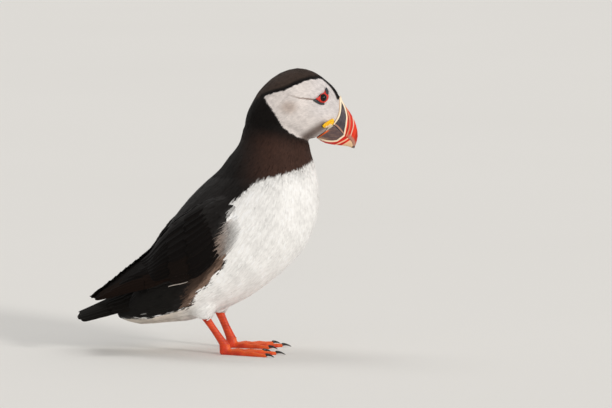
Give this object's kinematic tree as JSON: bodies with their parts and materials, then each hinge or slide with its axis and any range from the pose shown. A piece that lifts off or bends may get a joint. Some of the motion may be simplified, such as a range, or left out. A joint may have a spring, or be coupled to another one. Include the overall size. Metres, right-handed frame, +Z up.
{
  "type": "atlantic puffin",
  "caption": "Still life-size model of a standing Atlantic puffin in profile stance: black back and collar, white breast, striped red bill and webbed orange feet; rests on the floor.",
  "frame": {"origin": "centre of the bird's bounding box in plan, on the floor under its soles", "axes": "+X forward to the bill, +Y to the bird's left, +Z up"},
  "size_m": [0.2104, 0.097, 0.2133],
  "materials": {
    "plumage_white": "matt, loose white breast and belly feathers",
    "plumage_black": "satin brown-black back, wing, neck and tail feathers",
    "plumage_face": "velvety pale grey face, black crown and collar",
    "horn_red": "smooth horn, red with pale grooves beyond a slate plate",
    "horn_cream": "raised pale rim of the bill, matt",
    "horn_slate": "smooth horn, grey-brown plate with a pale rib and red tip",
    "gape_skin": "wrinkled yellow skin at the corner of the mouth",
    "eye": "wet, very dark brown",
    "eyelid": "bare red rim with blue-grey horny plates",
    "leg_skin": "scaly orange-red skin with yellow ridges",
    "claw": "smooth black horn"
  },
  "bodies": {
    "root": {"bill_cere": "horn_cream", "bill_lower": "horn_slate", "bill_upper": "horn_red", "claw_left_inner": "claw", "claw_left_middle": "claw", "claw_left_outer": "claw", "claw_right_inner": "claw", "claw_right_middle": "claw", "claw_right_outer": "claw", "eye_left": "eye", "eye_right": "eye", "eyelid_left": "eyelid", "eyelid_right": "eyelid", "foot_left": "leg_skin", "foot_right": "leg_skin", "gape_rosette_left": "gape_skin", "gape_rosette_right": "gape_skin", "head": "plumage_face", "leg_left": "leg_skin", "leg_right": "leg_skin", "neck": "plumage_black", "primaries_left": "plumage_black", "primaries_right": "plumage_black", "tail": "plumage_black", "thigh_left": "plumage_white", "thigh_right": "plumage_white", "trunk": "plumage_white", "wing_left": "plumage_black", "wing_right": "plumage_black"}
  },
  "joints": []
}
